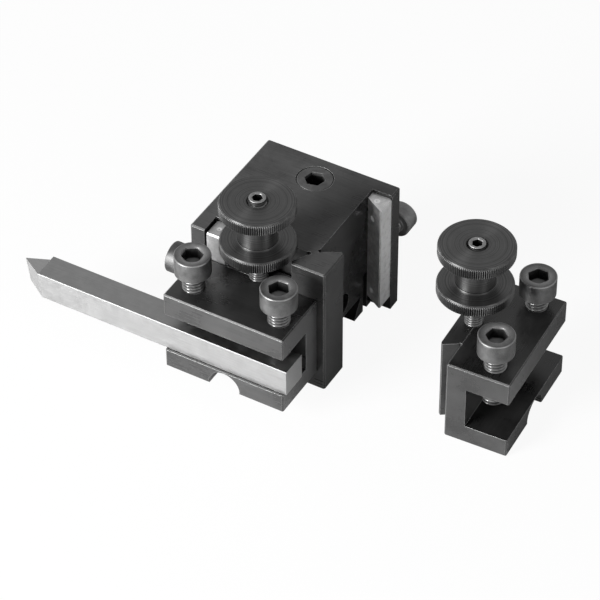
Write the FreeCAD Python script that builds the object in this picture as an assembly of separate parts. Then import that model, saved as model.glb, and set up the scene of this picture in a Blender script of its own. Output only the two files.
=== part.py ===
import FreeCAD, Part
import math
import os

os.makedirs("parts", exist_ok=True)

V = FreeCAD.Vector

# Lathe multi-tool holder: a square clamping post with two dovetail stations, one tool holder hung
# on its front station with a tool bit in it, and a second holder standing beside it.
# Millimetres, Z up. Origin: centre of the post's underside. X runs along the tool bit, whose point
# is at -X. The front station faces -Y and the side station faces +X.

# Post
post_side = 40.0
post_height = 40.0
post_edge_break = 0.4
station_depth = 6.0            # how deep each station pocket goes below the post's face
flank_angle = 30.0             # every dovetail flank leans this far from straight in
fixed_flank_mouth = 9.35       # fixed flank's theoretical mouth corner, from the post's centre line
mouth_flat = 1.0               # flat that breaks the fixed flank's sharp corner
root_relief_radius = 0.7
bore_radius = 3.4              # blind bore in the side station's floor
bore_depth = 8.0
bore_height = 11.2
slide_channel_depth = 6.4      # dovetail channel across the underside, for the lathe's slide
slide_channel_mouth = 13.4
slit_width = 2.0               # slit beside the channel that frees the clamping tongue
slit_height = 13.0
slit_centre = 12.3

# Base clamp screw, an M10 grub screw whose cone spreads the slit
base_screw_radius = 5.0
base_screw_x = -1.1
base_screw_y = 11.8
base_screw_bottom = 17.0       # where the cone starts
base_screw_key = 5.0           # hexagon across flats
base_screw_key_depth = 5.0
thread_clearance = 0.05        # radial, between a screw and its threaded hole
cone_clearance = 0.35

# Gibs, their guide pins and their clamp screws
gib_mouth_width = 5.8
gib_bottom = 4.7
gib_top_drop = 1.0             # top of each gib below the post's top
gib_floor_clearance = 0.15
gib_face_setback = 0.2
gib_edge_break = 0.4
side_gib_gap = 0.1             # the side station stands open
front_gib_gap = 0.54           # the front gib stands off its leg and bears on the mounted holder
pin_radius = 0.75
lower_pin_height = 8.2
upper_pin_drop = 6.5           # below the post's top
pin_in_leg = 3.0
pin_inset = 3.8                # from the post's face
pin_clearance = 0.03
press_overlap = 0.005
gib_screw_radius = 2.5
gib_screw_length = 8.0
gib_screw_head_radius = 4.25
gib_screw_head_height = 4.8
gib_screw_key = 4.0
gib_screw_key_depth = 2.5
gib_screw_inset = 3.4          # from the post's face
gib_screw_height = 23.0
touch_gap = 0.02               # left between two faces that bear on each other

# Tool holders
holder_length = 35.5
holder_body_depth = 17.6
holder_height = 25.2
lower_jaw = 5.75
slot_height = 12.75
slot_depth = 11.9
tail_root_width = 18.5
tail_depth = 4.65
tail_edge_break = 0.6
notch_half = 0.4                # relief notch in each corner where the tail meets the body
dovetail_clearance = 0.05      # along the face, between the holder's tail and the post's flanks
arch_radius = 4.65
arch_centre_height = 0.75
holder_edge_break = 0.35
holder_rest_height = 5.4       # underside of the mounted holder above the post's underside

# Screws, stud and nuts on each holder
clamp_radius = 3.0
clamp_length = 16.5
clamp_head_radius = 4.88
clamp_head_height = 6.0
clamp_key = 5.0
clamp_key_depth = 3.2
clamp_first = 5.3              # along the holder, from its end
clamp_second = 30.75
clamp_inset = 6.5              # from the holder's open face
head_rim = 0.4
socket_turns = {"left": 34.0, "right": 5.0, "near": -72.6, "far": -92.6}
stud_radius = 2.5
stud_length = 40.0
stud_foot = 12.0               # height of the stud's lower end in the holder
stud_inset = 18.3
stud_key = 2.5
stud_key_depth = 3.5
stud_end_break = 0.45
nut_radius = 10.05
nut_thickness = 3.5
nut_edge_break = 0.45
boss_radius = 5.45
boss_height = 0.5
hub_radius = 5.2
hub_length = 8.6
nut_clearance = 0.05
spare_nut_height = 10.2        # underside of the spare's lower nut above its holder's top
spare_clamp_heights = (10.6, 10.1)   # top of each spare clamp screw's head above the holder's top

# Tool bit
tool_side = 8.0
tool_inset = 0.8               # from the holder's open face
tool_right_end = 18.3
tool_point = (-64.3, -32.25)   # plan position of the cutting point
tool_front_start = -57.4       # where the ground end meets the top front edge
tool_back_start = -57.6        # where the ground end meets the top back edge
tool_point_drop = 0.85         # point below the tool's top
tool_rake_drop = 1.8           # rake's edge at the back, below the tool's top
tool_rake_back = -58.9
tool_heel = (-63.1, -32.5)    # foot of the nose edge, on the tool's underside

# Spare holder, standing on the ground with its open side facing +X
spare_corner = (72.56, -18.46)
spare_turn = 92.6

lean = math.tan(math.radians(flank_angle))
half = post_side / 2.0
floor_x = half - station_depth
gib_top = post_height - gib_top_drop
pin_heights = (lower_pin_height, post_height - upper_pin_drop)

# The mounted holder's tail lies against the fixed flank, and each leg leaves room for the gib
tail_half = tail_root_width / 2.0
holder_mid = fixed_flank_mouth - dovetail_clearance - tail_half
gib_mouth_reach = -holder_mid + tail_half + dovetail_clearance
leg_y = gib_mouth_reach + gib_face_setback * lean + gib_mouth_width + front_gib_gap
leg_thickness = half - leg_y


def plan(points, bottom, top):
    """Upright prism on a plan outline."""
    wire = Part.makePolygon([V(x, y, bottom) for x, y in points] + [V(points[0][0], points[0][1], bottom)])
    return Part.Face(wire).extrude(V(0, 0, top - bottom))


def cylinder(radius, bottom, top, x=0.0, y=0.0):
    return Part.makeCylinder(radius, top - bottom, V(x, y, bottom))


def cone(low_radius, high_radius, bottom, top, x=0.0, y=0.0):
    return Part.makeCone(low_radius, high_radius, top - bottom, V(x, y, bottom))


def hexagon(across_flats, bottom, top, x=0.0, y=0.0, turn=0.0):
    corner = across_flats / math.sqrt(3.0)
    points = []
    for k in range(6):
        angle = math.radians(60.0 * k + turn)
        points.append((x + corner * math.cos(angle), y + corner * math.sin(angle)))
    return plan(points, bottom, top)


def join(first, *others):
    shape = first
    for other in others:
        shape = shape.fuse(other)
    return shape.removeSplitter()


def half_space(point, outward, size=60.0):
    """A large block lying on the outward side of a plane."""
    block = Part.makeBox(size, size, size, V(-size / 2.0, -size / 2.0, 0))
    block.Placement = FreeCAD.Placement(V(*point), FreeCAD.Rotation(V(0, 0, 1), V(*outward)))
    return block


def upright_edges(shape, reach):
    """Vertical edges at the outer corners of a block."""
    chosen = []
    for edge in shape.Edges:
        low, high = edge.Vertexes[0].Point, edge.Vertexes[-1].Point
        if abs(low.x - high.x) < 1e-6 and abs(low.y - high.y) < 1e-6:
            if abs(abs(low.x) - reach) < 1e-6 and abs(abs(low.y) - reach) < 1e-6:
                chosen.append(edge)
    return chosen


def to_front(shape):
    """The front station is the side station mirrored across the post's diagonal."""
    return shape.mirror(V(0, 0, 0), V(1, 1, 0).normalize())


def save(name, shape):
    if shape.ShapeType == "Compound" and len(shape.Solids) == 1:
        shape = shape.Solids[0]
    shape.exportStep("parts/" + name + ".step")


def cap_screw(radius, length, head_radius, head_height, key, key_depth, turn=0.0):
    """Socket-head screw, head up, with its tip at height 0 and its socket turned by some degrees."""
    head_foot = length
    head_top = length + head_height
    shank = cylinder(radius, 0.0, head_foot)
    head = join(cylinder(head_radius, head_foot, head_top - head_rim),
                cone(head_radius, head_radius - head_rim, head_top - head_rim, head_top))
    socket = hexagon(key, head_top - key_depth, head_top + 1.0, 0.0, 0.0, turn)
    return join(shank, head).cut(socket)


# Station pocket, side station: floor, leg wall and the undercut fixed flank
flank_root = -fixed_flank_mouth - station_depth * lean
pocket_points = [
    (floor_x, flank_root), (half, -fixed_flank_mouth), (half + 1.0, -fixed_flank_mouth),
    (half + 1.0, leg_y), (floor_x, leg_y)]
pocket = plan(pocket_points, -1.0, post_height + 1.0)
relief = cylinder(root_relief_radius, -1.0, post_height + 1.0, floor_x + 0.35, flank_root + 0.75)
broken_mouth = plan([(half + 1.0, -fixed_flank_mouth - mouth_flat),
                     (half, -fixed_flank_mouth - mouth_flat),
                     (half - mouth_flat * 0.87, -fixed_flank_mouth - mouth_flat * 0.5),
                     (half - mouth_flat * 0.87, -fixed_flank_mouth + 1.0),
                     (half + 1.0, -fixed_flank_mouth + 1.0)], -1.0, post_height + 1.0)
station = pocket.fuse(relief).fuse(broken_mouth)

# Guide pins and the clamp screw run along Y through the side station's leg
pin_x = half - pin_inset
screw_x = half - gib_screw_inset


def along_y(shape, x, z, start):
    """Stand a piece made along +Z on its side, running towards +Y from the given start."""
    turned = shape.copy()
    turned.Placement = FreeCAD.Placement(V(x, start, z), FreeCAD.Rotation(V(1, 0, 0), -90))
    return turned


leg_holes = [along_y(cylinder(pin_radius + pin_clearance, 0.0, pin_in_leg + 0.6), pin_x, z, leg_y - 0.01)
             for z in pin_heights]
leg_holes.append(along_y(cylinder(gib_screw_radius + thread_clearance, -1.0, leg_thickness + 1.0),
                         screw_x, gib_screw_height, leg_y))
for hole in leg_holes:
    station = station.fuse(hole)

post = Part.makeBox(post_side, post_side, post_height, V(-half, -half, 0))
post = post.makeChamfer(post_edge_break, upright_edges(post, half))
top_edges = [e for e in post.Edges if min(v.Point.z for v in e.Vertexes) > post_height - 1e-6]
post = post.makeChamfer(post_edge_break, top_edges)
post = post.cut(station).cut(to_front(station))

# Underside: dovetail channel, the slit beside it and the clamp screw's hole down to the slit
channel_half = slide_channel_mouth / 2.0
channel_wide = channel_half + slide_channel_depth * lean
outline = [(-channel_half, -0.001), (channel_half, -0.001), (channel_wide, slide_channel_depth),
           (-channel_wide, slide_channel_depth)]
wire = Part.makePolygon([V(-half - 1.0, y, z) for y, z in outline] + [V(-half - 1.0, outline[0][0], outline[0][1])])
channel = Part.Face(wire).extrude(V(post_side + 2.0, 0, 0))
slit = Part.makeBox(post_side + 2.0, slit_width, slit_height + 1.0,
                    V(-half - 1.0, slit_centre - slit_width / 2.0, -1.0))
hole_radius = base_screw_radius + thread_clearance
screw_hole = cylinder(hole_radius, base_screw_bottom - cone_clearance, post_height + 1.0, base_screw_x, base_screw_y)
hole_cone_foot = base_screw_bottom - cone_clearance - (hole_radius - 0.6)
screw_seat = cone(0.6, hole_radius, hole_cone_foot, base_screw_bottom - cone_clearance, base_screw_x, base_screw_y)
post = post.cut(channel).cut(slit).cut(screw_hole).cut(screw_seat)

# Blind bore in the side station's floor
bore = Part.makeCylinder(bore_radius, bore_depth + 1.0, V(floor_x - bore_depth, 0, bore_height), V(1, 0, 0))
post = post.cut(bore)
save("post_body", post)

# Base clamp screw, flush with the post's top
cone_length = base_screw_radius - 1.0
grub = join(cylinder(base_screw_radius, base_screw_bottom, post_height - 0.3, base_screw_x, base_screw_y),
            cone(base_screw_radius, base_screw_radius - 0.3, post_height - 0.3, post_height, base_screw_x, base_screw_y),
            cone(1.0, base_screw_radius, base_screw_bottom - cone_length, base_screw_bottom,
                 base_screw_x, base_screw_y))
grub = grub.cut(hexagon(base_screw_key, post_height - base_screw_key_depth, post_height + 1.0,
                        base_screw_x, base_screw_y, 15.0))
save("base_clamp_screw", grub)


def gib_set(gap):
    """A gib, its two guide pins and its clamp screw, for the side station."""
    back = leg_y - gap
    inner_x = floor_x + gib_floor_clearance
    outer_x = half - gib_face_setback
    root_width = gib_mouth_width - (outer_x - inner_x) * lean
    section = [(inner_x, back - root_width), (inner_x, back), (outer_x, back),
               (outer_x, back - gib_mouth_width + gib_edge_break),
               (outer_x - gib_edge_break, back - gib_mouth_width + gib_edge_break * lean)]
    gib = plan(section, gib_bottom, gib_top)
    ends = [e for e in gib.Edges
            if min(v.Point.z for v in e.Vertexes) > gib_top - 1e-6
            and min(v.Point.x for v in e.Vertexes) > outer_x - 1e-6]
    gib = gib.makeChamfer(gib_edge_break, ends)
    reach = [(inner_x, back - root_width), (inner_x, leg_y + pin_in_leg), (outer_x, leg_y + pin_in_leg),
             (outer_x, back - gib_mouth_width)]
    envelope = plan(reach, gib_bottom, gib_top)
    pins = []
    for z in pin_heights:
        start = back - gib_mouth_width
        pin = along_y(cylinder(pin_radius, 0.0, gib_mouth_width + gap + pin_in_leg), pin_x, z, start)
        pins.append(pin.common(envelope))
        gib = gib.cut(along_y(cylinder(pin_radius - press_overlap, 0.0, gib_mouth_width + 1.0), pin_x, z, start))
    screw = cap_screw(gib_screw_radius, gib_screw_length, gib_screw_head_radius, gib_screw_head_height,
                      gib_screw_key, gib_screw_key_depth)
    screw = along_y(screw, screw_x, gib_screw_height, back + touch_gap)
    return gib, pins, screw


for name, gap, place in (("side", side_gib_gap, lambda s: s), ("front", front_gib_gap, to_front)):
    gib, pins, screw = gib_set(gap)
    save(name + "_gib", place(gib))
    save(name + "_gib_lower_pin", place(pins[0]))
    save(name + "_gib_upper_pin", place(pins[1]))
    save(name + "_gib_screw", place(screw))


def holder_shape():
    """Holder in its own frame: X along it, Y from the open face to the dovetail, Z up."""
    body = Part.makeBox(holder_length, holder_body_depth, holder_height)
    body = body.makeChamfer(holder_edge_break, body.Edges)
    body = body.cut(Part.makeBox(holder_length + 2.0, slot_depth + 1.0, slot_height, V(-1.0, -1.0, lower_jaw)))
    middle = holder_length / 2.0
    tail_end = holder_body_depth + tail_depth
    tip_half = tail_half + (tail_depth - tail_edge_break) * lean
    tail = [(middle - tail_half + 0.2 * lean, holder_body_depth - 0.2),
            (middle + tail_half - 0.2 * lean, holder_body_depth - 0.2),
            (middle + tip_half, tail_end - tail_edge_break), (middle + tip_half - tail_edge_break, tail_end),
            (middle - tip_half + tail_edge_break, tail_end), (middle - tip_half, tail_end - tail_edge_break)]
    body = body.fuse(plan(tail, 0.0, holder_height))
    for side in (-1, 1):
        corner = middle + side * (tail_half + 0.25)
        notch = [(corner - notch_half, holder_body_depth - notch_half),
                 (corner + notch_half, holder_body_depth - notch_half),
                 (corner + notch_half, holder_body_depth + notch_half),
                 (corner - notch_half, holder_body_depth + notch_half)]
        body = body.cut(plan(notch, -1.0, holder_height + 1.0))
    arch = Part.makeCylinder(arch_radius, tail_end + 2.0, V(middle, -1.0, arch_centre_height), V(0, 1, 0))
    below = Part.makeBox(2.0 * arch_radius, tail_end + 2.0, 10.0, V(middle - arch_radius, -1.0, arch_centre_height - 10.0))
    arch = arch.cut(below)
    mouth = math.sqrt(arch_radius ** 2 - arch_centre_height ** 2)
    body = body.cut(arch)
    body = body.cut(Part.makeBox(2.0 * mouth, tail_end + 2.0, arch_centre_height + 1.0,
                                 V(middle - mouth, -1.0, -1.0)))
    for along in (clamp_first, clamp_second):
        body = body.cut(cylinder(clamp_radius + thread_clearance, lower_jaw + slot_height - 1.0,
                                 holder_height + 1.0, along, clamp_inset))
    body = body.cut(cylinder(stud_radius - press_overlap, stud_foot, holder_height + 1.0, middle, stud_inset))
    return body.removeSplitter()


def stud_shape():
    top = stud_foot + stud_length
    stud = join(cylinder(stud_radius, stud_foot, top - stud_end_break),
                cone(stud_radius, stud_radius - stud_end_break, top - stud_end_break, top))
    stud = stud.cut(hexagon(stud_key, top - stud_key_depth, top + 1.0, 0.0, 0.0, 20.0))
    return moved(stud, holder_length / 2.0, stud_inset, 0.0)


def moved(shape, x, y, z):
    copy = shape.copy()
    copy.translate(V(x, y, z))
    return copy


def height_nut(bottom):
    """Plain knurled disc with a low boss on top."""
    rim = nut_edge_break
    top = bottom + nut_thickness
    disc = join(cylinder(nut_radius, bottom, top - rim),
                cone(nut_radius, nut_radius - rim, top - rim, top),
                cylinder(boss_radius, top, top + boss_height))
    disc = disc.cut(cylinder(stud_radius + nut_clearance, bottom - 1.0, top + boss_height + 1.0))
    return moved(disc, holder_length / 2.0, stud_inset, 0.0)


def lock_nut(bottom):
    """Knurled disc on a long hub that bears on the height nut's boss."""
    rim = nut_edge_break
    seat = bottom + nut_thickness + boss_height + touch_gap
    foot = seat + hub_length
    top = foot + nut_thickness
    disc = join(cylinder(hub_radius, seat, foot + 0.5),
                cylinder(nut_radius, foot, top - rim),
                cone(nut_radius, nut_radius - rim, top - rim, top))
    disc = disc.cut(cylinder(stud_radius + nut_clearance, seat - 1.0, top + 1.0))
    return moved(disc, holder_length / 2.0, stud_inset, 0.0)


def clamp_screw(which):
    return cap_screw(clamp_radius, clamp_length, clamp_head_radius, clamp_head_height, clamp_key,
                     clamp_key_depth, socket_turns[which])


slot_floor = lower_jaw

# Mounted holder, hung on the front station
mount_x = holder_mid - holder_length / 2.0
mount_y = -half - holder_body_depth
mounted_nut = post_height + touch_gap - holder_rest_height
tool_top = slot_floor + touch_gap + tool_side


def at_front(shape):
    return moved(shape, mount_x, mount_y, holder_rest_height)


save("holder_body", at_front(holder_shape()))
save("holder_stud", at_front(stud_shape()))
save("holder_height_nut", at_front(height_nut(mounted_nut)))
save("holder_lock_nut", at_front(lock_nut(mounted_nut)))
save("holder_left_screw", at_front(moved(clamp_screw("left"), clamp_first, clamp_inset, tool_top + touch_gap)))
save("holder_right_screw", at_front(moved(clamp_screw("right"), clamp_second, clamp_inset, tool_top + touch_gap)))

# Tool bit: a square bar with a ground point at its left end
tool_y = mount_y + tool_inset
tool_z = holder_rest_height + slot_floor + touch_gap
tool_far_y = tool_y + tool_side
top_z = tool_z + tool_side
tool = Part.makeBox(tool_right_end + 70.0, tool_side, tool_side, V(-70.0, tool_y, tool_z))
long_edges = [e for e in tool.Edges if abs(e.Vertexes[0].Point.x - e.Vertexes[-1].Point.x) > 1.0]
tool = tool.makeChamfer(0.15, long_edges)
point = V(tool_point[0], tool_point[1], top_z - tool_point_drop)
front_start = V(tool_front_start, tool_y, top_z)
heel = V(tool_heel[0], tool_heel[1], tool_z)
rake_back = V(tool_rake_back, tool_far_y, top_z - tool_rake_drop)
back_start = V(tool_back_start, tool_far_y, top_z)


def facing(normal, away_from):
    """The normal, turned to point away from the given inside point."""
    return normal if normal.dot(away_from) > 0 else normal.negative()


outside = V(-1, 0, 0)
front_grind = facing((front_start - point).cross(heel - point), V(-1, -1, 0))
back_grind = facing((rake_back - point).cross(heel - point), V(-1, 1, 0))
tool = tool.cut(half_space(point, front_grind)).cut(half_space(point, back_grind))
# The rake is ground into the top as a sloping flat that ends in a short step
rake_face = (front_start - point).cross(rake_back - point)
rake_face = facing(rake_face, V(0, 0, 1))
step_face = facing((back_start - front_start).cross(rake_back - front_start), outside)
rake_cut = half_space(point, rake_face).common(half_space(rake_back, step_face))
tool = tool.cut(rake_cut)
save("tool_bit", tool)


# Spare holder
def at_spare(shape):
    copy = shape.copy()
    turn = FreeCAD.Placement(V(spare_corner[0], spare_corner[1], 0), FreeCAD.Rotation(V(0, 0, 1), spare_turn))
    copy.Placement = turn.multiply(copy.Placement)
    return copy


save("spare_body", at_spare(holder_shape()))
save("spare_stud", at_spare(stud_shape()))
save("spare_height_nut", at_spare(height_nut(holder_height + spare_nut_height)))
save("spare_lock_nut", at_spare(lock_nut(holder_height + spare_nut_height)))
for which, along, head_top in (("near", clamp_first, spare_clamp_heights[0]),
                               ("far", clamp_second, spare_clamp_heights[1])):
    tip = holder_height + head_top - clamp_head_height - clamp_length
    save("spare_" + which + "_screw", at_spare(moved(clamp_screw(which), along, clamp_inset, tip)))
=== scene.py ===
import math

import bpy
import numpy as np
from mathutils import Matrix, Vector


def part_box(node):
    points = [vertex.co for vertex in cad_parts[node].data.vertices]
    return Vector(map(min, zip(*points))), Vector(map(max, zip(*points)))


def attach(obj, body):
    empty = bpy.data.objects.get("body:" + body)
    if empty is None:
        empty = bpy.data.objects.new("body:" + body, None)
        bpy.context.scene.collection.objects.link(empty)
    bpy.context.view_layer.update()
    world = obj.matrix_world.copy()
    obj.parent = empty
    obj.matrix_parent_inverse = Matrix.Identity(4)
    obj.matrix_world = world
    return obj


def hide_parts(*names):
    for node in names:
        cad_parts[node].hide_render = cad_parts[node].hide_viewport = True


# Small quick-change tool post with two tool holders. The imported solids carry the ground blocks, the
# gibs, their pins, the base clamp screw and the tool bit. Surfaces worked out here stand for the
# other screws, the studs and the knurled nuts.
# Lengths are in metres. A number written as 4.25 * MM is in millimetres.

MM = 0.001
TURN = 2.0 * math.pi

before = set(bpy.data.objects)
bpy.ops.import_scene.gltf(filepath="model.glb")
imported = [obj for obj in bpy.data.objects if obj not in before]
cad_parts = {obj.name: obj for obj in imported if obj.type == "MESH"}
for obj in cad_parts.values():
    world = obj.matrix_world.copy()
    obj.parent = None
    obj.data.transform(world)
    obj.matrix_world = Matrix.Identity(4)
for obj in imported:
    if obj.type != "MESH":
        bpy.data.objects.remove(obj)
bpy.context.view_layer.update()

# Scales that turn Object coordinates into millimetres, plain or drawn out along the grinding lines
PLAIN = (1000.0, 1000.0, 1000.0)
LONG_LINES = (40.0, 1600.0, 1600.0)
GRAIN_ALONG_X = (50.0, 2000.0, 2000.0)
GRAIN_ALONG_Z = (2000.0, 2000.0, 50.0)

WEAR_RADIUS = 0.18 * MM
SHARP_ANGLE = math.radians(32.0)

# The turned pieces' own X, Y and Z as they lie in the part
UP = np.eye(3)
TO_BACK = np.array([[1.0, 0.0, 0.0], [0.0, 0.0, -1.0], [0.0, 1.0, 0.0]])
TO_LEFT = np.array([[0.0, 0.0, 1.0], [0.0, 1.0, 0.0], [-1.0, 0.0, 0.0]])


class Wire:
    """A shader socket that takes part in arithmetic: each operator adds one Math node."""

    def __init__(self, graph, socket):
        self.graph = graph
        self.socket = socket

    def maths(self, operation, first, second):
        return self.graph.node("ShaderNodeMath", {"operation": operation}, {0: first, 1: second})

    def __add__(self, other):
        return self.maths("ADD", self, other)

    def __radd__(self, other):
        return self.maths("ADD", other, self)

    def __sub__(self, other):
        return self.maths("SUBTRACT", self, other)

    def __rsub__(self, other):
        return self.maths("SUBTRACT", other, self)

    def __mul__(self, other):
        return self.maths("MULTIPLY", self, other)

    def __rmul__(self, other):
        return self.maths("MULTIPLY", other, self)


class Graph:
    """A node tree, and the one way in which nodes are added to it."""

    def __init__(self, owner):
        owner.use_nodes = True
        self.tree = owner.node_tree

    def own(self, kind):
        """The node of this type that the tree already has."""
        return next(node for node in self.tree.nodes if node.type == kind)

    def put(self, socket, value):
        if isinstance(value, Wire):
            self.tree.links.new(value.socket, socket)
        else:
            socket.default_value = value

    def node(self, kind, settings=None, sockets=None, output=0):
        """Any node: its settings first, then the value or link of each input."""
        new = self.tree.nodes.new(kind)
        for key, value in (settings or {}).items():
            setattr(new, key, value)
        for key, value in (sockets or {}).items():
            self.put(new.inputs[key], value)
        return Wire(self, new.outputs[output])

    def span(self, value, low, high, first=0.0, last=1.0):
        """Carry a value smoothly from first to last as it goes from low to high."""
        return self.node("ShaderNodeMapRange", {"interpolation_type": "SMOOTHSTEP"},
                         {"Value": value, "From Min": low, "From Max": high,
                          "To Min": first, "To Max": last})

    def ray(self, kind):
        """1 on this kind of ray and 0 on any other."""
        return self.node("ShaderNodeLightPath", output="Is " + kind + " Ray")


class Finish(Graph):
    """A procedural finish: one Principled shader and the nodes that vary it over the surface."""

    def __init__(self, name, **fixed):
        self.material = bpy.data.materials.new(name)
        super().__init__(self.material)
        self.shader = self.own("BSDF_PRINCIPLED")
        for socket, value in fixed.items():
            self.feed(socket.replace("_", " "), value)

    def feed(self, socket, value):
        self.put(self.shader.inputs[socket], value)

    def vector(self, operation, first, second, output=0):
        return self.node("ShaderNodeVectorMath", {"operation": operation},
                         {0: first, 1: second}, output)

    def dot(self, first, second):
        return self.vector("DOT_PRODUCT", first, second, 1)

    def place(self, scale=PLAIN, turn=0.0):
        """Object coordinates turned about Z by so many degrees, then scaled."""
        spot = self.node("ShaderNodeTexCoord", output="Object")
        turned = self.node("ShaderNodeMapping", {"vector_type": "POINT"},
                           {"Vector": spot, "Rotation": (0.0, 0.0, math.radians(turn))})
        return self.vector("MULTIPLY", turned, scale)

    def noise(self, spot, scale, detail, roughness):
        return self.node("ShaderNodeTexNoise", None,
                         {"Vector": spot, "Scale": scale, "Detail": detail,
                          "Roughness": roughness})

    def blend(self, share, first, second):
        """One colour where the share is 0 and the other where it is 1."""
        return self.node("ShaderNodeMix", {"data_type": "RGBA"},
                         {0: share, 6: first, 7: second}, 2)

    def grey(self, value):
        return self.node("ShaderNodeCombineColor", None,
                         {"Red": value, "Green": value, "Blue": value})

    def rough_up(self, height, distance, strength, under=None):
        """Feed Normal with a bump of this height, over the direction given or the true one."""
        sockets = {"Height": height, "Distance": distance, "Strength": strength}
        if under is not None:
            sockets["Normal"] = under
        self.feed("Normal", self.node("ShaderNodeBump", None, sockets))

    def rounded(self):
        """The surface direction as if each sharp edge had the wear's radius."""
        return self.node("ShaderNodeBevel", {"samples": 6}, {"Radius": WEAR_RADIUS})

    def edge(self, rounded):
        """How far the rounded direction leans from the true one: 0 on a flat, more on an edge."""
        return 1.0 - self.dot(rounded, self.node("ShaderNodeNewGeometry", output="Normal"))

    def facing(self, way):
        """How squarely the surface of the unmoved piece looks one way, as the angle's cosine."""
        return self.dot(self.node("ShaderNodeTexCoord", output="Normal"), way)

    def along(self, name):
        """A number kept at the mesh's own points."""
        return self.node("ShaderNodeAttribute", {"attribute_name": name}, output="Fac")


def grey(value):
    return (value, value, value, 1.0)


def blackened_block(name, turn, base, top, gloss):
    """Ground and blackened steel, its grinding lines turned by so many degrees: cloudy oxide, long
    lines, edges worn lighter. The faces that look up are painted top times as light as the rest:
    painted light where top is above 1 and painted shade where it is below."""
    finish = Finish(name, Specular_IOR_Level=gloss)
    lines = finish.noise(finish.place(LONG_LINES, turn), scale=2.2, detail=4.0, roughness=0.6)
    clouds = finish.noise(finish.place(turn=turn), scale=0.09, detail=4.0, roughness=0.6)
    cloud = finish.span(clouds, 0.3, 0.7)
    speck = finish.noise(finish.place(turn=turn), scale=1.6, detail=2.0, roughness=0.5)
    rounded = finish.rounded()
    patches = finish.span(speck, 0.25, 0.6, 0.35, 1.0)
    worn = finish.span(finish.edge(rounded), 0.01, 0.09) * patches
    # Painted light and shade: faces that look up are painted top times as light as the rest.
    painted_top_light_shade = finish.span(finish.facing((0.0, 0.0, 1.0)), 0.5, 0.9, 1.0, top)
    tone = base * painted_top_light_shade * (0.75 + 0.5 * cloud) * (0.5 + lines)
    finish.feed("Base Color", finish.blend(worn * 0.8, finish.grey(tone), grey(0.42)))
    finish.feed("Metallic", 0.6 * worn)
    finish.feed("Roughness", 0.17 + 0.16 * cloud + 0.14 * lines + 0.16 * worn)
    finish.rough_up(lines * 0.6 + speck * 0.4, 0.012 * MM, 0.6, rounded)
    return finish.material


def ground_steel(name, base, rough, grain, metallic=1.0, patchy=0.36, bright=None, dark=(),
                 dents=(), lean=None):
    """Bright ground steel with fine straight grinding lines and dull patches. Bright is a direction
    and a share of painted light and shade: faces that look that way or its opposite keep the full
    tone, and the rest lose the share. Dark lists directions with shares of painted shade: a face
    that looks just that way loses its share. Dents are small drilled dimples, their hollow painted
    darker as painted shade and their edge painted bright as a painted highlight, each by its middle
    in millimetres. Lean is the slope of an end filed at an angle, as its rise in each millimetre
    along X, Y and Z."""
    finish = Finish(name, Metallic=metallic)
    lines = finish.noise(finish.place(grain), scale=2.4, detail=5.0, roughness=0.65)
    patches = finish.noise(finish.place(), scale=0.45, detail=6.0, roughness=0.75)
    cloud = finish.span(patches, 0.3, 0.7)
    tone = base * (1.0 - 0.5 * patchy + patchy * cloud) * (0.8 + 0.4 * lines)
    # Painted light and shade: faces along the bright direction keep the full tone, the rest are
    # darker.
    if bright:
        way, share = bright
        look = finish.facing(way)
        tone = tone * finish.span(look * look, 0.2, 0.8, 1.0 - share, 1.0)
    # Painted shade on the faces that look each dark direction.
    for way, share in dark:
        tone = tone * finish.span(finish.facing(way), 0.93, 0.99, 1.0, 1.0 - share)
    height = lines
    # Each dent: painted shade in its hollow and a painted highlight on its edge.
    for middle in dents:
        away = finish.vector("DISTANCE", finish.place(), middle, 1) + 0.35 * (cloud - 0.5)
        dent_painted_shade = finish.span(away, 0.1, 0.3, 0.4, 1.0)
        dent_painted_highlight = finish.span(away, 0.55, 0.95, 0.8, 0.0)
        tone = tone * dent_painted_shade * (1.0 + dent_painted_highlight)
        height = height + 20.0 * finish.span(away, 0.2, 0.9)
    relief, strength = 0.006, 0.7
    if lean:
        slope = tuple(rise / (relief * strength) for rise in lean)
        height = height + finish.dot(finish.place(), slope)
    finish.feed("Base Color", finish.grey(tone))
    finish.feed("Roughness", rough + 0.12 * cloud + 0.10 * lines)
    finish.rough_up(height, relief * MM, strength)
    return finish.material


def turned_black(name, base):
    """Blackened steel off the lathe: fine rings that follow the profile, dark roots between the
    teeth, and the bare edges rubbed grey."""
    finish = Finish(name, Metallic=0.9, Anisotropic=0.8, Anisotropic_Rotation=0.25)
    ring = finish.node("ShaderNodeTexNoise", {"noise_dimensions": "1D"},
                       {"W": finish.along("path_mm"), "Scale": 2.6, "Detail": 4.0,
                        "Roughness": 0.8})
    cloud = finish.noise(finish.place(), scale=0.25, detail=3.0, roughness=0.55)
    rings = finish.span(ring, 0.3, 0.7, 0.68, 1.32)
    tone = base * (rings + 0.3 * (cloud - 0.5)) * (0.25 + 0.75 * finish.along("crest"))
    patches = 0.35 + 0.65 * finish.span(cloud, 0.3, 0.7)
    rubbed = finish.span(finish.along("bare"), 0.3, 1.0) * patches
    finish.feed("Base Color", finish.blend(rubbed, finish.grey(tone), grey(0.13)))
    finish.feed("Roughness", 0.26 + 0.16 * ring + 0.05 * cloud + 0.2 * rubbed)
    finish.rough_up(ring, 0.02 * MM, 0.6)
    return finish.material


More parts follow.
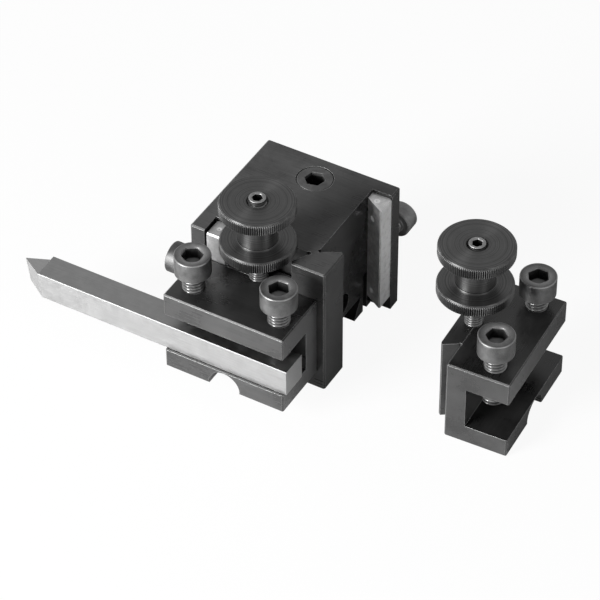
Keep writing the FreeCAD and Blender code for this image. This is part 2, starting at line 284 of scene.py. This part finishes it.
def satin_screw(name, base, bottom=None):
    """Satin blackened screw head, with the light grey that handling leaves. Below the height bottom,
    in millimetres, it is darker, down to 0.08 of its tone."""
    finish = Finish(name, Metallic=0.75, Anisotropic=0.4, Anisotropic_Rotation=0.25)
    clouds = finish.noise(finish.place(), scale=0.35, detail=4.0, roughness=0.6)
    cloud = finish.span(clouds, 0.3, 0.7)
    speck = finish.noise(finish.place(), scale=6.0, detail=2.0, roughness=0.5)
    rounded = finish.rounded()
    worn = finish.span(finish.edge(rounded), 0.03, 0.2) + finish.along("crest")
    tone = base * (0.45 + 0.5 * cloud + 0.7 * speck)
    if bottom is not None:
        height = finish.node("ShaderNodeSeparateXYZ", None, {0: finish.place()}, "Z")
        tone = tone * (0.08 + 0.92 * finish.span(height, bottom, bottom + 0.5))
    finish.feed("Base Color", finish.blend(worn * 0.6 * speck, finish.grey(tone), grey(0.5)))
    finish.feed("Roughness", 0.41 + 0.16 * cloud)
    finish.rough_up(speck, 0.006 * MM, 0.6, rounded)
    return finish.material


def cut_thread(name, bright, dark):
    """Thread flanks: the crests rubbed bright and the roots dark. In screw sockets the same number is
    painted shade down the walls and painted light on the floor.
    """
    finish = Finish(name, Metallic=0.9)
    cloud = finish.noise(finish.place(), scale=1.2, detail=3.0, roughness=0.6)
    share = finish.span(finish.along("crest") + 0.3 * (cloud - 0.5), 0.05, 0.75)
    finish.feed("Base Color", finish.blend(share, grey(dark), grey(bright)))
    finish.feed("Roughness", 0.48 - 0.08 * share)
    return finish.material


def skin(name, rings, closed, body, node, slot, materials, chosen, **numbers):
    """Mesh on a grid of points, rings by columns. Columns wrap round. Rings wrap too where closed,
    and otherwise the first and last ring each shrink to a pole at their centre. Chosen gives each
    ring's material, and numbers are kept at the points."""
    count, around = rings.shape[:2]
    points = rings.reshape(-1, 3)
    here = np.arange(around)
    after = (here + 1) % around
    low = np.arange(count if closed else count - 1)[:, None] * around
    high = (low + around) % (count * around)
    quads = np.stack([low + here, low + after, high + after, high + here], axis=2)
    faces = quads.reshape(-1, 4).tolist()
    indices = np.repeat(chosen[:len(low)], around).tolist()
    if not closed:
        foot, top = len(points), len(points) + 1
        last = (count - 1) * around
        points = np.vstack([points, rings[0].mean(axis=0), rings[-1].mean(axis=0)])
        faces += np.stack([np.full(around, foot), after, here], axis=1).tolist()
        faces += np.stack([np.full(around, top), last + here, last + after], axis=1).tolist()
        indices += [int(chosen[0])] * around + [int(chosen[-1])] * around
    mesh = bpy.data.meshes.new(name)
    mesh.from_pydata(points.tolist(), [], faces)
    for material in materials:
        mesh.materials.append(material)
    mesh.polygons.foreach_set("material_index", indices)
    for key, values in numbers.items():
        flat = np.concatenate([np.ravel(values), np.zeros(len(points) - np.size(values))])
        kept = mesh.attributes.new(key, "FLOAT", "POINT")
        kept.data.foreach_set("value", flat.astype(np.float32))
    mesh.shade_smooth()
    mesh.set_sharp_from_angle(angle=SHARP_ANGLE)
    mesh.update()
    piece = bpy.data.objects.new(name, mesh)
    bpy.context.collection.objects.link(piece)
    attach(piece, body)
    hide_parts(node)


def revolve(radius, height, angle, origin, axes):
    """Points at each radius and height round an axis: radius times cosine and sine of the angle,
    and the height along the axis, then turned to lie along the axes and set at the origin."""
    local = np.stack([radius * np.cos(angle), radius * np.sin(angle), height], axis=2)
    return local @ axes + origin


def angles(around, turn=0.0):
    """So many even steps round the circle, from the turn on."""
    return np.arange(around) * TURN / around + turn


def hexagon(across_flats, angle, turn):
    """Distance from the centre to a hexagon's side: half the flats over the cosine of the angle
    from the middle of the side. The turn is where a corner lies."""
    from_corner = np.mod(angle - turn, TURN / 6.0)
    return across_flats / 2.0 / np.cos(from_corner - TURN / 12.0)


def ridge(phase, flat):
    """Triangle wave, 1 at each whole phase and 0 halfway between, drawn out past both ends by the
    flat and clipped there."""
    triangle = np.abs(2.0 * np.mod(phase, 1.0) - 1.0)
    return np.clip((1.0 + 2.0 * flat) * triangle - flat, 0.0, 1.0)


def screw_thread(radius, pitch, height, angle, last):
    """The radius falls by a ridge wave once a pitch, whose phase turns once round. The depth grows
    from nothing over one pitch at the foot and fades over one pitch before the last height. The
    second result is 1 on a crest and 0 at a root."""
    depth = 0.58 * pitch
    valley = 1.0 - ridge(height / pitch - angle / TURN, 0.15)
    ease = np.clip(height / pitch, 0.0, 1.0) * np.clip((last - height) / pitch, 0.0, 1.0)
    return radius - depth * valley * ease, 1.0 - valley * ease


def column(*values):
    """Values as a column, one for each ring."""
    return np.array(values)[:, None]


def stack(around, *bands):
    """Rings of a profile, as one grid for each entry of a band. A band is a radius, a height and
    the numbers that go with them. Each entry is one number, a column down the rings, a row round
    them, or a grid of both."""
    grids = [[] for entry in bands[0]]
    for band in bands:
        parts = [np.atleast_2d(entry) for entry in band]
        rows = max(len(part) for part in parts)
        for grid, part in zip(grids, parts):
            grid.append(np.broadcast_to(part, (rows, around)))
    return [np.vstack(grid) for grid in grids]


def extent_of(node, axes):
    """A turned piece's foot on its axis, its length and its largest radius, from its box."""
    low, high = (np.array(corner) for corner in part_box(node))
    length = float(abs((high - low) @ axes[2]))
    across = float(abs((high - low) @ axes[0]))
    return (low + high) / 2.0 - axes[2] * length / 2.0, length, across / 2.0


M5_HEAD = dict(radius=2.5 * MM, pitch=0.8 * MM, head=4.8 * MM, key=4.0 * MM, key_depth=2.5 * MM)
M6_HEAD = dict(radius=3.0 * MM, pitch=1.0 * MM, head=6.0 * MM, key=5.0 * MM, key_depth=3.2 * MM)
CORNER = 1.0 / math.sqrt(3.0)  # a hexagon's corner lies this share of its flats from the centre
SMOOTH, CUT = 0, 1  # a ring of a screw or stud has the piece's own finish or the thread's


def cap_screw(name, body, node, finish, axes, turn, radius, pitch, head, key, key_depth):
    """Socket-head screw: threaded shank with a coned point, small fillet, plain head with a rolled
    top edge, hexagon socket with a broken mouth and a drilled floor. Everything is one profile
    carried round. The last number of a band is how worn or light its rings are; in the socket it is
    painted shade that deepens down the walls, and painted light on the floor."""
    around = 96
    angle = angles(around, math.radians(turn))
    origin, length, head_radius = extent_of(node, axes)
    seat = length - head
    thread_end = seat - 0.9 * MM
    cone = 0.6 * MM
    dull_point = 1.2 * MM
    ring_count = int(12.0 * seat / pitch)
    rows = column(*np.linspace(0.0, seat - 0.25 * MM, ring_count))
    threaded, crest = screw_thread(radius, pitch, rows, angle, thread_end)
    threaded = np.minimum(threaded, radius + np.minimum(rows - cone, 0.0))
    crest = crest * np.where(rows < dull_point, 0.3, 1.0)
    socket = hexagon(key, angle, math.radians(turn))
    mouth = CORNER * key
    roll = column(*np.radians(np.linspace(0.0, 90.0, 6)))
    rim = 0.07 * head_radius
    floor = length - key_depth
    radii, heights, material, worn = stack(
        around,
        (threaded, rows, CUT, crest),
        (0.98 * radius, seat - 0.18 * MM, SMOOTH, 0.0),
        (radius + 0.12 * MM, seat, SMOOTH, 0.0),
        (head_radius - 0.3 * MM, seat, SMOOTH, 0.0),
        (head_radius, seat + 0.3 * MM, SMOOTH, 0.0),
        (head_radius, seat + 0.4 * head, SMOOTH, 0.0),
        (head_radius, seat + 0.8 * head, SMOOTH, 0.0),
        (head_radius - rim * (1.0 - np.cos(roll)), length - rim * (1.0 - np.sin(roll)), SMOOTH,
         column(0.0, 1.0, 1.0, 1.0, 1.0, 0.0)),
        (mouth + 0.25 * MM, length, SMOOTH, 1.0),
        (mouth + 0.02 * MM, length - 0.12 * MM, SMOOTH, 1.0),
        # Painted shade: the socket's walls are painted darker toward the floor; the floor rows are
        # painted lighter, as painted light.
        (socket, length - 0.35 * MM, CUT, 0.35),
        (socket, length - 0.45 * key_depth, CUT, 0.25),
        (socket, floor, CUT, 0.15),
        (0.42 * key, floor - 0.02 * MM, CUT, 0.7),
        (0.1 * key, floor - 0.2 * key, CUT, 0.8))
    skin(name, revolve(radii, heights, angle, origin, axes), False, body, node, "screw_steel",
         [finish, thread_finish], material[:, 0].astype(int), crest=worn)


def stud(name, body, node, key, key_depth, turn):
    """Threaded stud with a coned bright end and a small hexagon socket."""
    around = 60
    angle = angles(around, math.radians(turn))
    origin, length, radius = extent_of(node, UP)
    pitch = 0.8 * MM
    shank = length - 0.5 * MM
    ring_count = int(10.0 * shank / pitch)
    rows = column(*np.linspace(0.0, shank, ring_count))
    threaded, crest = screw_thread(radius, pitch, rows, angle, length)
    bright_until = length - 1.0 * MM
    crest = crest * np.clip((bright_until - rows) / (0.4 * MM), 0.0, 1.0)
    socket = hexagon(key, angle, math.radians(turn))
    radii, heights, material, worn = stack(
        around,
        (threaded, rows, CUT, crest),
        (radius - 0.28 * MM, length - 0.14 * MM, SMOOTH, 0.0),
        (radius - 0.36 * MM, length - 0.04 * MM, SMOOTH, 0.0),
        (radius - 0.46 * MM, length, SMOOTH, 0.0),
        (CORNER * key + 0.12 * MM, length - 0.02 * MM, SMOOTH, 0.0),
        (socket, length - 0.22 * MM, CUT, 0.0),
        (socket, length - key_depth, CUT, 0.0),
        (0.2 * key, length - key_depth - 0.3 * MM, CUT, 0.0))
    skin(name, revolve(radii, heights, angle, origin, UP), False, body, node, "bright_steel",
         [stud_finish, thread_finish], material[:, 0].astype(int), crest=worn)


def knurled_nut(name, body, node, hub_first):
    """Round nut as one closed profile: bore, disc with broken edges and straight V teeth cut into
    its rim, and either a low boss above or a long hub below. The last two numbers of a band say how
    near the rings are to a tooth's crest and whether their edge is bare."""
    teeth = 112
    around = teeth * 6
    angle = angles(around)
    origin, length, radius = extent_of(node, UP)
    bore = 2.55 * MM
    thick = 3.5 * MM
    rim = 0.55 * MM
    tooth = 0.28 * MM
    knurl = radius - tooth * (1.0 - ridge(angle * teeth / TURN, 0.25))
    foot = length - thick if hub_first else 0.0
    head = foot + thick
    ease = column(*np.linspace(0.0, 1.0, 5))

    def toothed(widest, height, bare):
        """A band of the rim: no wider than the knurl or than its own widest radius."""
        narrow = np.minimum(widest, knurl)
        crest = np.clip(1.0 - (radius - narrow) / tooth, 0.0, 1.0)
        return narrow, height, crest, bare

    face = column(*np.linspace(6.0, (radius - rim) / MM - 0.3, 3)) * MM
    if hub_first:
        below = [(5.1 * MM, 0.0, 1.0, 0.0),
                 (5.2 * MM, 0.1 * MM, 1.0, 0.0),
                 (5.2 * MM, foot - 0.35 * MM, 1.0, 0.0),
                 (5.3 * MM, foot - 0.1 * MM, 1.0, 0.0),
                 (5.6 * MM, foot, 1.0, 0.0)]
        above = []
    else:
        below = []
        above = [(5.55 * MM, head + 0.02 * MM, 1.0, 0.0),
                 (5.45 * MM, head + 0.1 * MM, 1.0, 0.0),
                 (5.45 * MM, length - 0.08 * MM, 1.0, 1.0),
                 (5.37 * MM, length, 1.0, 0.0)]
    radii, heights, crest, bare = stack(
        around,
        (bore, 0.4 * MM, 1.0, 0.0),
        (bore + 0.35 * MM, 0.0, 1.0, 0.0),
        *below,
        (face, foot, 1.0, 0.0),
        toothed(radius - rim * (1.0 - ease), foot + rim * ease, 0.0),
        toothed(radius, column(foot + 0.35 * thick, foot + 0.65 * thick), 0.0),
        toothed(radius - rim * ease, head - rim + rim * ease, 1.0),
        (face[::-1], head, 1.0, 0.0),
        *above,
        (bore + 0.3 * MM, length, 1.0, 0.0),
        (bore, length - 0.35 * MM, 1.0, 0.0))
    step = np.hypot(np.diff(radii[:, :1], axis=0), np.diff(heights[:, :1], axis=0))
    path = np.concatenate([[[0.0]], np.cumsum(step, axis=0)]) / MM
    skin(name, revolve(radii, heights, angle, origin, UP), True, body, node, "black_steel",
         [wheel_finish], np.zeros(len(radii), int),
         crest=crest, path_mm=np.broadcast_to(path, radii.shape), bare=bare)


# Finishes
# The tops are painted light and shade: lighter on the post, darker on the holders. The holder and the
# spare holder are one part, given different tones as painted light and shade.
post_finish = blackened_block("blackened_post", turn=0.0, base=0.026, top=2.3, gloss=0.36)
holder_finish = blackened_block("blackened_holder", turn=0.0, base=0.044, top=0.42, gloss=0.55)
spare_finish = blackened_block("blackened_spare_holder", turn=-92.6, base=0.034, top=0.35,
                               gloss=0.55)
wheel_finish = turned_black("turned_wheel", base=0.095)
screw_finish = satin_screw("satin_screw_head", base=0.105)
# The two gib screws are alike: the side one is painted lighter and the front one darker, as painted
# light and shade.
side_screw_finish = satin_screw("side_screw_painted_lighter", base=0.20)
front_screw_finish = satin_screw("front_screw_painted_darker", base=0.08)
base_screw_finish = satin_screw("satin_base_screw", base=0.10, bottom=38.7)
thread_finish = cut_thread("rubbed_thread", bright=0.20, dark=0.03)
# The side gib: painted lighter on the faces that look along X, painted shade on its flank and on the
# face that looks up and to the right, and a dent with painted shade and a painted highlight.
side_gib_finish = ground_steel(
    "ground_side_gib", base=1.0, rough=0.36, grain=GRAIN_ALONG_Z, metallic=0.8, patchy=0.34,
    bright=((1.0, 0.0, 0.0), 0.24),
    dark=(((0.39, -0.92, 0.0), 0.4), ((0.707, 0.0, 0.707), 0.35)), dents=((16.8, 13.1, 39.0),))
# The front gib's dent has painted shade in its hollow and a painted highlight on its edge.
front_gib_finish = ground_steel("ground_front_gib", base=0.40, rough=0.36, grain=GRAIN_ALONG_Z,
                                metallic=0.8, dents=((-13.1, -16.8, 39.0),))
# Bright steel pins, painted near white and half diffuse so that their ends show a painted glint.
pin_finish = ground_steel("bright_pin", base=0.95, rough=0.42, grain=GRAIN_ALONG_Z, metallic=0.5,
                          patchy=0.1, lean=(-0.62, 0.35, -0.70))
stud_finish = ground_steel("bright_stud_end", base=0.26, rough=0.42, grain=GRAIN_ALONG_Z)
# The tool's sides are painted lighter than its top and end, and the face that looks forward and up is
# painted darker, as painted light and shade.
tool_finish = ground_steel(
    "ground_tool_steel", base=0.54, rough=0.28, grain=GRAIN_ALONG_X, patchy=0.06,
    bright=((0.0, 1.0, 0.0), 0.46), dark=(((0.0, -0.707, 0.707), 0.6),))

for finish, nodes in (
        (post_finish, ("post_body",)),
        (holder_finish, ("holder_body",)),
        (spare_finish, ("spare_body",)),
        (base_screw_finish, ("base_clamp_screw",)),
        (side_gib_finish, ("side_gib",)),
        (front_gib_finish, ("front_gib",)),
        (pin_finish, ("side_gib_lower_pin", "side_gib_upper_pin",
                      "front_gib_lower_pin", "front_gib_upper_pin")),
        (tool_finish, ("tool_bit",))):
    for node in nodes:
        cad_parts[node].material_slots[0].material = finish

# Screws, studs and nuts
for name, body, node, turn in (
        ("left_clamp_screw", "left_screw", "holder_left_screw", 34.0),
        ("right_clamp_screw", "right_screw", "holder_right_screw", 5.0),
        ("spare_near_clamp_screw", "spare_near_screw", "spare_near_screw", 20.0),
        ("spare_far_clamp_screw", "spare_far_screw", "spare_far_screw", 0.0)):
    cap_screw(name, body, node, screw_finish, UP, turn, **M6_HEAD)
cap_screw("side_gib_clamp_screw", "side_gib_screw", "side_gib_screw", side_screw_finish, TO_BACK,
          0.0, **M5_HEAD)
cap_screw("front_gib_clamp_screw", "front_gib_screw", "front_gib_screw", front_screw_finish,
          TO_LEFT, 0.0, **M5_HEAD)
for owner, turn in (("holder", 20.0), ("spare", 112.6)):
    stud(owner + "_threaded_stud", owner, owner + "_stud", 2.5 * MM, 3.5 * MM, turn)
for prefix, owner in (("", "holder"), ("spare_", "spare")):
    for kind, hub_first in (("height_nut", False), ("lock_nut", True)):
        knurled_nut(owner + "_knurled_" + kind, prefix + kind, owner + "_" + kind, hub_first)

# Floor: a wide pale disc that shows white to the camera and keeps a faint shadow
FLOOR_RADIUS = 4.0
FLOOR_DROP = 0.05 * MM
paint = Finish("pale_floor", Base_Color=grey(0.9), Roughness=1.0, Specular_IOR_Level=0.0)
seen = 0.93 * paint.ray("Camera") + 0.06 * paint.ray("Glossy") + 0.06 * paint.ray("Transmission")
glow = paint.node("ShaderNodeEmission", None, {"Color": grey(1.0), "Strength": 1.0})
mixed = paint.node("ShaderNodeMixShader", None,
                   {0: seen, 1: Wire(paint, paint.shader.outputs[0]), 2: glow})
paint.put(paint.own("OUTPUT_MATERIAL").inputs["Surface"], mixed)
floor_mesh = bpy.data.meshes.new("floor")
floor_mesh.from_pydata([(FLOOR_RADIUS * math.cos(t), FLOOR_RADIUS * math.sin(t), -FLOOR_DROP)
                        for t in angles(64)], [], [list(range(64))])
floor_mesh.materials.append(paint.material)
floor = bpy.data.objects.new("floor", floor_mesh)
bpy.context.collection.objects.link(floor)

# World: white to the camera, faint soft fill on the object, and in its reflections a dome that
# goes from white near the horizon to grey overhead
world = bpy.data.worlds.new("studio")
bpy.context.scene.world = world
sky = Graph(world)
height = sky.node("ShaderNodeSeparateXYZ", None, {0: sky.node("ShaderNodeTexCoord")}, "Z")
dome = sky.span(height, 0.34, 0.66, 1.0, 0.55)
reflected = sky.ray("Glossy") + sky.ray("Transmission")
camera_ray = sky.ray("Camera")
level = camera_ray + (1.0 - camera_ray) * (reflected * dome + (1.0 - reflected) * 0.08)
backdrop = sky.own("BACKGROUND")
sky.put(backdrop.inputs["Color"], grey(1.0))
sky.put(backdrop.inputs["Strength"], level)

AIM = Vector((0.008, -0.012, 0.020))


def softbox(name, direction, distance, size, power):
    """A square area lamp at this distance and direction from the object, facing it."""
    data = bpy.data.lights.new(name, "AREA")
    data.shape = "SQUARE"
    data.size = size
    data.energy = power
    lamp = bpy.data.objects.new(name, data)
    away = Vector(direction).normalized()
    lamp.location = AIM + away * distance
    lamp.rotation_euler = away.to_track_quat("Z", "Y").to_euler()
    bpy.context.collection.objects.link(lamp)


softbox("key_softbox", (-0.42, -0.84, 0.34), distance=0.9, size=0.42, power=19.0)
softbox("right_strip", (0.85, -0.28, 0.20), distance=1.0, size=0.28, power=2.0)

# Camera, at the photograph's angle: turned about Z, looking down, and rolled a little
EYE = (0.30683, -0.52308, 0.56490)
AZIMUTH, ELEVATION, ROLL = 0.529, 0.744, -0.006
right = Vector((math.cos(AZIMUTH), math.sin(AZIMUTH), 0.0))
ahead = Vector((-math.sin(AZIMUTH) * math.cos(ELEVATION), math.cos(AZIMUTH) * math.cos(ELEVATION),
                -math.sin(ELEVATION)))
above = right.cross(ahead)
side = math.cos(ROLL) * right + math.sin(ROLL) * above
over = math.cos(ROLL) * above - math.sin(ROLL) * right
camera_data = bpy.data.cameras.new("camera")
camera_data.sensor_fit = "HORIZONTAL"
camera_data.sensor_width = 36.0
camera_data.lens = 185.29
camera_data.clip_end = 20.0
camera = bpy.data.objects.new("camera", camera_data)
turned = Matrix((side, over, -ahead)).transposed().to_4x4()
camera.matrix_world = Matrix.Translation(EYE) @ turned
bpy.context.collection.objects.link(camera)
bpy.context.scene.camera = camera
bpy.context.scene.view_settings.view_transform = "Standard"
